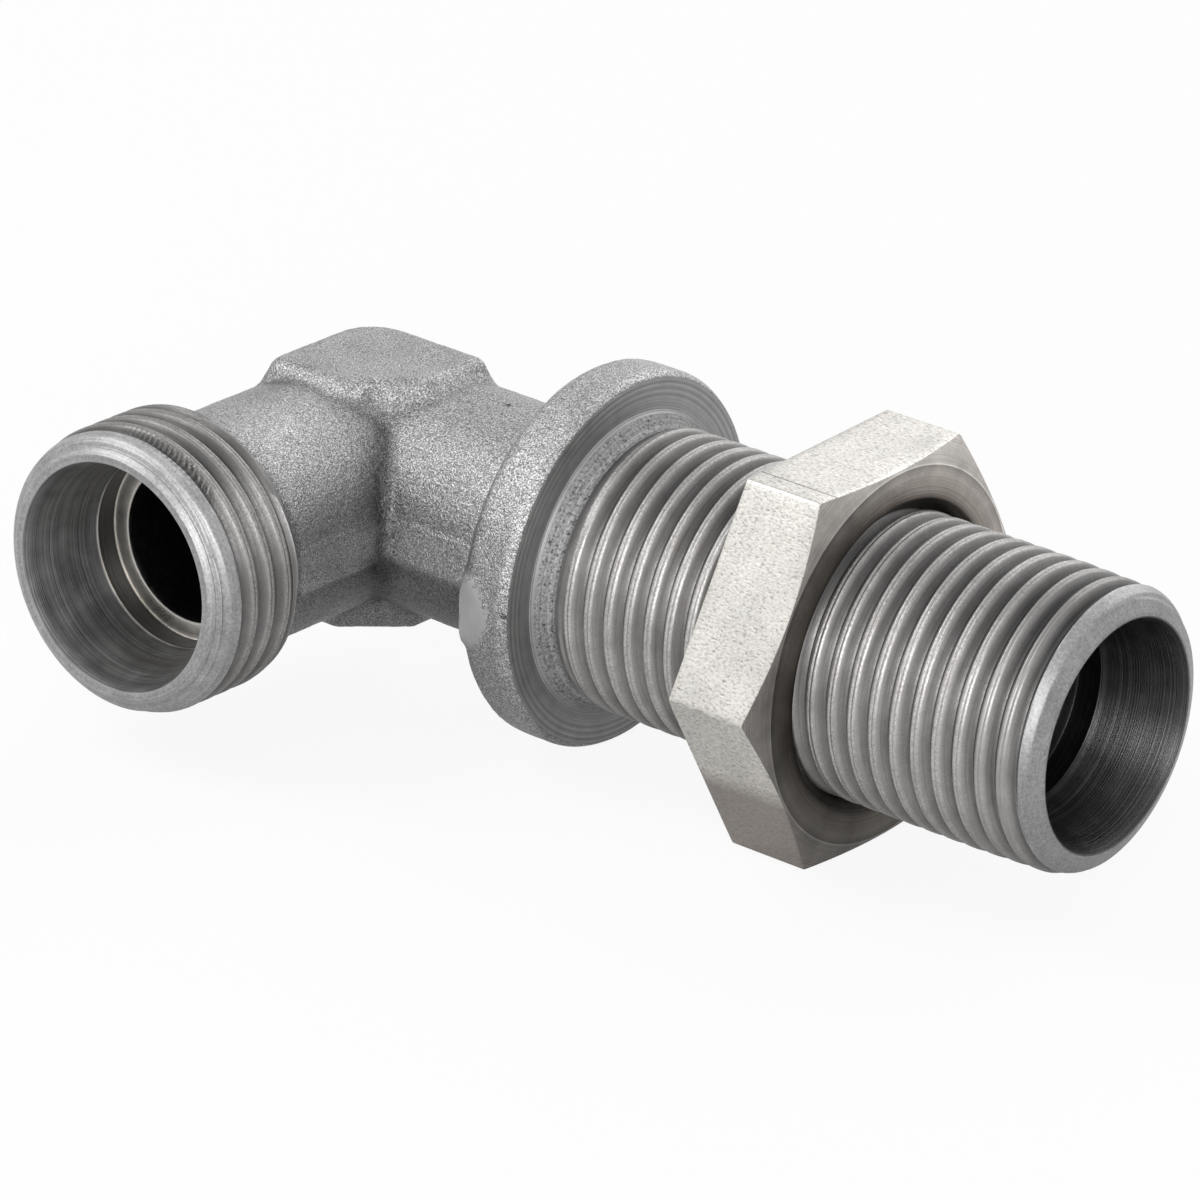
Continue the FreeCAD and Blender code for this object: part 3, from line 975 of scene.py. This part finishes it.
def turned_material(name):
    """Turned steel: fine lines that run round the axis, over slow changes of tone."""
    leg, (dark, light), roughness, line_scale, line_depth, extras = TURNED_STEELS[name]
    nodes = Nodes(name)
    place = nodes.place()
    lines = nodes.noise(lathe_place(nodes, leg), line_scale, 3, 0.7)
    stains = nodes.noise(place, 700, 4, 0.65)
    base = nodes.ramp(lines, [(0.3, dark), (0.7, light)])
    colour = nodes.shaded(base, nodes.ramp(stains, [(0.3, 0.85), (0.7, 1.1)]))
    rough = nodes.ramp(stains, [(0.3, roughness - 0.05), (0.7, roughness + 0.07)])
    normal = nodes.bump(lines, 0.7, line_depth)
    if "mottle" in extras:
        specks = nodes.noise(place, 5600, 4, 0.7)
        stops = TORN_SHADE if "torn" in extras else MOTTLED_SHADE
        colour = nodes.shaded(colour, nodes.ramp(specks, stops))
        normal = nodes.bump(specks, 0.7, extras["mottle"], normal)
    if "chatter" in extras:
        colour, normal = add_chatter(nodes, place, colour, normal)
    return nodes.finish(colour, rough, extras.get("metallic", 1.0), normal)


def thread_material(leg):
    """Rolled thread: painted shade in its roots, more above and below; dented along its bright
    crests.
    """
    dark, bright = THREAD_TONES[leg]
    nodes = Nodes(leg + "_thread_steel")
    place = nodes.place()
    lathe = lathe_place(nodes, leg)
    height = nodes.level(nodes.axes(lathe)["X"], THREAD_RADIUS - THREAD_DEPTH, THREAD_RADIUS)
    # The darker roots are painted shade, and the lighter crests are worn
    tone = nodes.ramp(height, [
        (0.0, 0.5 * dark), (0.3, 0.85 * dark), (0.75, dark), (0.95, 0.88 * bright), (1.0, bright),
    ])
    # Painted shade over the thread above and below the leg, deepest in its roots
    off_side = nodes.level(nodes.math("ABSOLUTE", nodes.axes(place)["Z"]), 3.0, 8.0)
    root_painted_shade = nodes.ramp(height, [(0.0, 0.27), (0.5, 0.52), (1.0, 0.74)])
    tone = nodes.mix(off_side, tone, nodes.shaded(tone, root_painted_shade))
    lines = nodes.noise(lathe, 4500, 2, 0.6)
    dents = nodes.noise(place, 7000, 3, 0.65)
    stains = nodes.noise(place, 500, 4, 0.65)
    on_crest = nodes.ramp(height, [(0.8, 0.2), (0.97, 1.0)])
    toned = nodes.shaded(
        tone,
        nodes.ramp(stains, [(0.3, (0.85, 0.815, 0.795)), (0.7, (1.12, 1.1, 1.09))]),
        nodes.ramp(lines, [(0.35, 0.88), (0.65, 1.08)]),
    )
    dented = nodes.shaded(toned, nodes.ramp(dents, [(0.36, 0.7), (0.5, 1.0), (0.64, 1.2)]))
    colour = nodes.mix(on_crest, toned, dented)
    roughness = nodes.ramp(dents, [(0.4, 0.44), (0.6, 0.34)])
    normal = nodes.bump(lines, 0.4, 0.00002)
    normal = nodes.bump(dents, nodes.math("MULTIPLY", on_crest, 0.6), 0.00004, normal)
    if leg == "branch":
        colour, normal = add_chatter(nodes, place, colour, normal)
    else:
        level = distance_level(nodes, place, DING[:3], [DING[3]] * 3)
        ragged = nodes.math("ADD", level, nodes.math("MULTIPLY_ADD", dents, 1.2, -0.6))
        hit = nodes.ramp(ragged, [(0.5, 1.0), (0.8, 0.0)])
        colour = nodes.mix(hit, colour, DING_COLOUR)
        normal = nodes.bump(hit, 1.0, 0.00008, normal)
    return nodes.finish(colour, roughness, 0.75, normal)


def nut_flat_material():
    """Drawn bar: warm light grey with fine dark pores, oil and painted shade at its foot, with one
    lap line.
    """
    nodes = Nodes("nut_flat_steel")
    place = nodes.place()
    stretch = nodes.add("ShaderNodeMapping", {"Vector": place, "Scale": (0.5, 1, 1)})
    pores = nodes.noise(stretch.outputs[0], 8200, 3, 0.6)
    clouds = nodes.noise(place, 300, 3, 0.6)
    tone = nodes.ramp(clouds, [(0.3, 0.9), (0.7, 1.08)])
    colour = nodes.shaded(nodes.ramp(pores, NUT_FLAT_TONES), tone)
    # An oil tint with painted shade on the lower flats
    off_foot = nodes.level(nodes.axes(place)["Z"], *OIL_AND_SHADE_LINE)
    colour = nodes.mix(off_foot, nodes.mix(0.8, colour, OIL_AND_SHADE_COLOUR), colour)
    waver = nodes.math("MULTIPLY_ADD", clouds, 0.5, -0.25)
    near_lap = distance_level(nodes, place, LAP_LINE, LAP_REACH)
    lap = nodes.ramp(nodes.math("ADD", near_lap, waver), [(0.4, 0.35), (1.0, 1.0)])
    colour = nodes.shaded(colour, lap)
    roughness = nodes.ramp(pores, [(0.35, 0.5), (0.6, 0.34)])
    normal = nodes.bump(pores, 0.4, 0.00003)
    return nodes.finish(colour, roughness, 1.0, nodes.bump(lap, 0.8, 0.00004, normal))


def nut_face_material():
    """Turned face: fine arcs, painted light high and painted shade low, a bright line at its
    chamfer.
    """
    nodes = Nodes("nut_face_steel")
    place = nodes.place()
    lathe = lathe_place(nodes, "stem")
    across = nodes.level(nodes.axes(lathe)["X"], NUT_SINK_RADIUS, NUT_FACE_RADIUS + 1)
    lines = nodes.noise(lathe, 11000, 3, 0.7)
    stains = nodes.noise(place, 450, 4, 0.65)
    # A painted gradient: painted light high on the face, painted shade on its low side
    toward_lit_side = nodes.vector_math("DOT_PRODUCT", place, FACE_LIGHT_WAY)
    colour = nodes.shaded(
        nodes.ramp(across, NUT_FACE_TONES),
        nodes.ramp(lines, [(0.3, 0.78), (0.7, 1.2)]),
        nodes.ramp(stains, [(0.3, 0.75), (0.7, 1.2)]),
        nodes.level(toward_lit_side, *FACE_LIGHT_RANGE, *FACE_PAINTED_LIGHT),
    )
    rough = nodes.ramp(stains, [(0.3, 0.3), (0.7, 0.44)])
    return nodes.finish(colour, rough, 1.0, nodes.bump(lines, 0.8, 0.00004))


def elbow_materials():
    return [
        forged_material(),
        turned_material("seat_steel"),
        turned_material("groove_steel"),
        thread_material("stem"),
        turned_material("stem_end_steel"),
        turned_material("stem_socket_steel"),
        thread_material("branch"),
        turned_material("branch_end_steel"),
        turned_material("branch_socket_steel"),
        turned_material("stop_steel"),
        turned_material("bore_steel"),
        turned_material("stem_deep_steel"),
        turned_material("branch_deep_steel"),
    ]


def nut_materials():
    return [nut_flat_material(), nut_face_material(), turned_material("nut_thread_steel")]


def add_piece(name, mesh, body, node):
    """A visible piece that rides on a body and stands for its CAD node."""
    mesh.transform(Matrix.Scale(MM, 4))
    mesh.shade_smooth()
    mesh.set_sharp_from_angle(angle=SHARP_ANGLE)
    piece = bpy.data.objects.new(name, mesh)
    bpy.context.scene.collection.objects.link(piece)
    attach(piece, body)
    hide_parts(node)


def add_lamp(name, place, size, power):
    lamp = bpy.data.objects.new(name, bpy.data.lights.new(name, "AREA"))
    bpy.context.scene.collection.objects.link(lamp)
    lamp.data.shape = "DISK"
    lamp.data.size = size
    lamp.data.energy = power
    lamp.location = place
    lamp.rotation_mode = "QUATERNION"
    lamp.rotation_quaternion = (Vector(LAMP_AIM) - Vector(place)).to_track_quat("-Z", "Y")


def light_path_level(tree, otherwise, camera, reflected):
    """A level that depends on what sees a surface: the camera, a reflection or glass."""
    path = tree.nodes.new("ShaderNodeLightPath")
    level = None
    for output, value in (
        ("Is Transmission Ray", reflected), ("Is Glossy Ray", reflected), ("Is Camera Ray", camera),
    ):
        choose = tree.nodes.new("ShaderNodeMix")
        choose.inputs["A"].default_value = otherwise
        choose.inputs["B"].default_value = value
        tree.links.new(path.outputs[output], choose.inputs["Factor"])
        if level is not None:
            tree.links.new(level, choose.inputs["A"])
        level = choose.outputs["Result"]
    return level


def add_world():
    """White where the camera or a reflection sees it, and softer as a light."""
    world = bpy.data.worlds.new("studio")
    bpy.context.scene.world = world
    world.use_nodes = True
    tree = world.node_tree
    background = tree.nodes["Background"]
    background.inputs["Color"].default_value = WHITE
    level = light_path_level(tree, WORLD_LIGHT, 1.0, 1.0)
    tree.links.new(level, background.inputs["Strength"])


def floor_material():
    """Matte white that takes the object's shadow, eased towards the white background."""
    material = bpy.data.materials.new("floor_white")
    material.use_nodes = True
    tree = material.node_tree
    shader = tree.nodes["Principled BSDF"]
    shader.inputs["Base Color"].default_value = FLOOR_COLOUR
    shader.inputs["Roughness"].default_value = FLOOR_ROUGHNESS
    shader.inputs["Specular IOR Level"].default_value = 0.0
    glow = tree.nodes.new("ShaderNodeEmission")
    blend = tree.nodes.new("ShaderNodeMixShader")
    ease = light_path_level(tree, 0.0, FLOOR_EASE, FLOOR_EASE_REFLECTED)
    tree.links.new(ease, blend.inputs["Fac"])
    tree.links.new(shader.outputs[0], blend.inputs[1])
    tree.links.new(glow.outputs[0], blend.inputs[2])
    tree.links.new(blend.outputs[0], tree.nodes["Material Output"].inputs["Surface"])
    return material


def add_floor():
    mesh = bpy.data.meshes.new("floor")
    corners = [(x * FLOOR_HALF, y * FLOOR_HALF, 0) for x, y in ((-1, -1), (1, -1), (1, 1), (-1, 1))]
    mesh.from_pydata(corners, [], [(0, 1, 2, 3)])
    floor = bpy.data.objects.new("floor", mesh)
    floor.location.z = FLOOR_Z * MM
    bpy.context.scene.collection.objects.link(floor)
    mesh.materials.append(floor_material())


def add_camera():
    camera = bpy.data.objects.new("camera", bpy.data.cameras.new("camera"))
    bpy.context.scene.collection.objects.link(camera)
    axes = (Vector(CAMERA_RIGHT), Vector(CAMERA_UP), -Vector(CAMERA_AHEAD))
    matrix = Matrix(axes).transposed().to_4x4()
    matrix.translation = Vector(CAMERA_PLACE) * MM
    camera.matrix_world = matrix
    camera.data.sensor_width = CAMERA_SENSOR
    camera.data.lens = CAMERA_LENS
    camera.data.clip_start = CAMERA_CLIP_START
    bpy.context.scene.camera = camera


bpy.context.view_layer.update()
add_piece("elbow_skin", elbow_mesh(elbow_materials()), "elbow", "elbow_body")
add_piece("locknut_skin", nut_mesh(nut_materials()), "nut", "locknut")
add_floor()
for lamp_values in LAMPS:
    add_lamp(*lamp_values)
add_world()
add_camera()
bpy.context.scene.view_settings.view_transform = "Standard"
